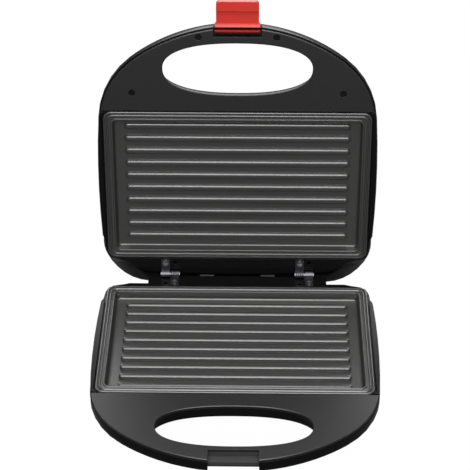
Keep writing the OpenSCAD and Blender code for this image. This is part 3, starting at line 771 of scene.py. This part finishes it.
# The photograph's camera: its focal length in the photograph's pixels, its place from the plates'
# middle on the worktop, and how far it looks down, is turned and leans
PHOTO_WIDTH = 470
FOCAL_LENGTH = 1573.98
SENSOR_WIDTH = 36.0
CAMERA_X, CAMERA_Y, CAMERA_Z = 0.01537, -0.98876, 0.86396
CAMERA_DOWN, CAMERA_TURN, CAMERA_LEAN = 0.62861, 0.0161, -0.00234
VIEW_REACH = 50


def add_floor(scene):
    """A plain pale floor that the camera sees white, with the toaster's shadow."""
    bm = bmesh.new()
    bmesh.ops.create_grid(bm, x_segments=1, y_segments=1, size=FLOOR_HALF_SIZE)
    mesh = bpy.data.meshes.new("floor")
    bm.to_mesh(mesh)
    bm.free()
    floor = bpy.data.objects.new("floor", mesh)
    scene.collection.objects.link(floor)
    # Matt white paper: even and without a highlight
    material = bpy.data.materials.new("matt_white_paper")
    material.use_nodes = True
    tree = material.node_tree
    paper = tree.nodes["Principled BSDF"]
    paper.inputs["Base Color"].default_value = linear(FLOOR_GREY)
    paper.inputs["Roughness"].default_value = FLOOR_ROUGHNESS
    glow = add_node(tree, "ShaderNodeEmission", Strength=FLOOR_GLOW)
    rays = add_node(tree, "ShaderNodeLightPath")
    seen = add_node(
        tree, "ShaderNodeMath", {0: (rays, "Is Camera Ray")}, operation="MULTIPLY"
    )
    seen.inputs[1].default_value = FLOOR_GLOW_SHARE
    mixed = add_node(tree, "ShaderNodeMixShader", {0: (seen, 0), 1: (paper, 0), 2: (glow, 0)})
    tree.links.new(mixed.outputs[0], tree.nodes["Material Output"].inputs["Surface"])
    mesh.materials.append(material)


def add_world(scene):
    """A white background, which lights the toaster only faintly."""
    world = bpy.data.worlds.new("studio")
    scene.world = world
    world.use_nodes = True
    tree = world.node_tree
    around = tree.nodes["Background"]
    around.inputs["Color"].default_value = linear("#ffffff")
    around.inputs["Strength"].default_value = FILL_STRENGTH
    white = add_node(tree, "ShaderNodeBackground", Strength=1.0)
    white.inputs["Color"].default_value = linear("#ffffff")
    rays = add_node(tree, "ShaderNodeLightPath")
    mirrored = add_node(
        tree, "ShaderNodeMath", {0: (rays, "Is Glossy Ray"), 1: (rays, "Is Transmission Ray")}
    )
    faint = add_node(tree, "ShaderNodeMath", {0: (mirrored, 0)}, operation="MULTIPLY")
    faint.inputs[1].default_value = MIRRORED_SHARE
    seen = add_node(tree, "ShaderNodeMath", {0: (rays, "Is Camera Ray"), 1: (faint, 0)})
    mixed = add_node(tree, "ShaderNodeMixShader", {0: (seen, 0), 1: (around, 0), 2: (white, 0)})
    tree.links.new(mixed.outputs[0], tree.nodes["World Output"].inputs["Surface"])


def add_softboxes(scene):
    """Three broad soft lights, behind, over and in front of the toaster."""
    for name, place, aim, size, power in SOFTBOXES:
        light = bpy.data.lights.new(name, "AREA")
        light.shape = "RECTANGLE"
        light.size, light.size_y = size
        light.energy = power
        lamp = bpy.data.objects.new(name, light)
        lamp.location = place
        to_aim = Vector(aim) - Vector(place)
        lamp.rotation_euler = to_aim.to_track_quat("-Z", "Y").to_euler()
        scene.collection.objects.link(lamp)


def add_camera(scene):
    """The camera at the photograph's viewing angle."""
    lens = bpy.data.cameras.new("camera")
    lens.sensor_fit = "HORIZONTAL"
    lens.sensor_width = SENSOR_WIDTH
    lens.lens = FOCAL_LENGTH * SENSOR_WIDTH / PHOTO_WIDTH
    lens.clip_end = VIEW_REACH
    camera = bpy.data.objects.new("camera", lens)
    turn = Matrix.Rotation(CAMERA_TURN, 4, "Z")
    down = Matrix.Rotation(math.pi / 2 - CAMERA_DOWN, 4, "X")
    lean = Matrix.Rotation(CAMERA_LEAN, 4, "Z")
    place = Matrix.Translation((CAMERA_X, CAMERA_Y + PLATE_Y, CAMERA_Z))
    camera.matrix_world = place @ turn @ down @ lean
    scene.collection.objects.link(camera)
    scene.camera = camera


class TOASTER_OT_stage(bpy.types.Operator):
    """Sets the pale floor, the studio lights and the camera"""

    bl_idname = "toaster.stage"
    bl_label = "Stage, lights and camera"

    def execute(self, context):
        context.scene.view_settings.view_transform = "Standard"
        for add in (add_floor, add_world, add_softboxes, add_camera):
            add(context.scene)
        return {"FINISHED"}


STEPS = (
    TOASTER_OT_inner_finishes,
    TOASTER_OT_casings,
    TOASTER_OT_plates,
    TOASTER_OT_latch,
    TOASTER_OT_hinges,
    TOASTER_OT_stage,
)


class TOASTER_PT_panel(bpy.types.Panel):
    """Lists the toaster's building steps"""

    bl_idname = "TOASTER_PT_panel"
    bl_label = "Sandwich toaster"
    bl_space_type = "VIEW_3D"
    bl_region_type = "UI"
    bl_category = "Toaster"

    def draw(self, context):
        for step in STEPS:
            self.layout.operator(step.bl_idname)


CLASSES = (PlateSizes, FinishColours, *STEPS, TOASTER_PT_panel)


def register():
    for item in CLASSES:
        bpy.utils.register_class(item)
    bpy.types.Scene.toaster_plate = bpy.props.PointerProperty(type=PlateSizes)
    bpy.types.Scene.toaster_colours = bpy.props.PointerProperty(type=FinishColours)


def unregister():
    del bpy.types.Scene.toaster_colours
    del bpy.types.Scene.toaster_plate
    for item in reversed(CLASSES):
        bpy.utils.unregister_class(item)


def main():
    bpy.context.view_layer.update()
    register()
    for step in STEPS:
        space, name = step.bl_idname.split(".")
        getattr(getattr(bpy.ops, space), name)()


if __name__ == "__main__":
    main()
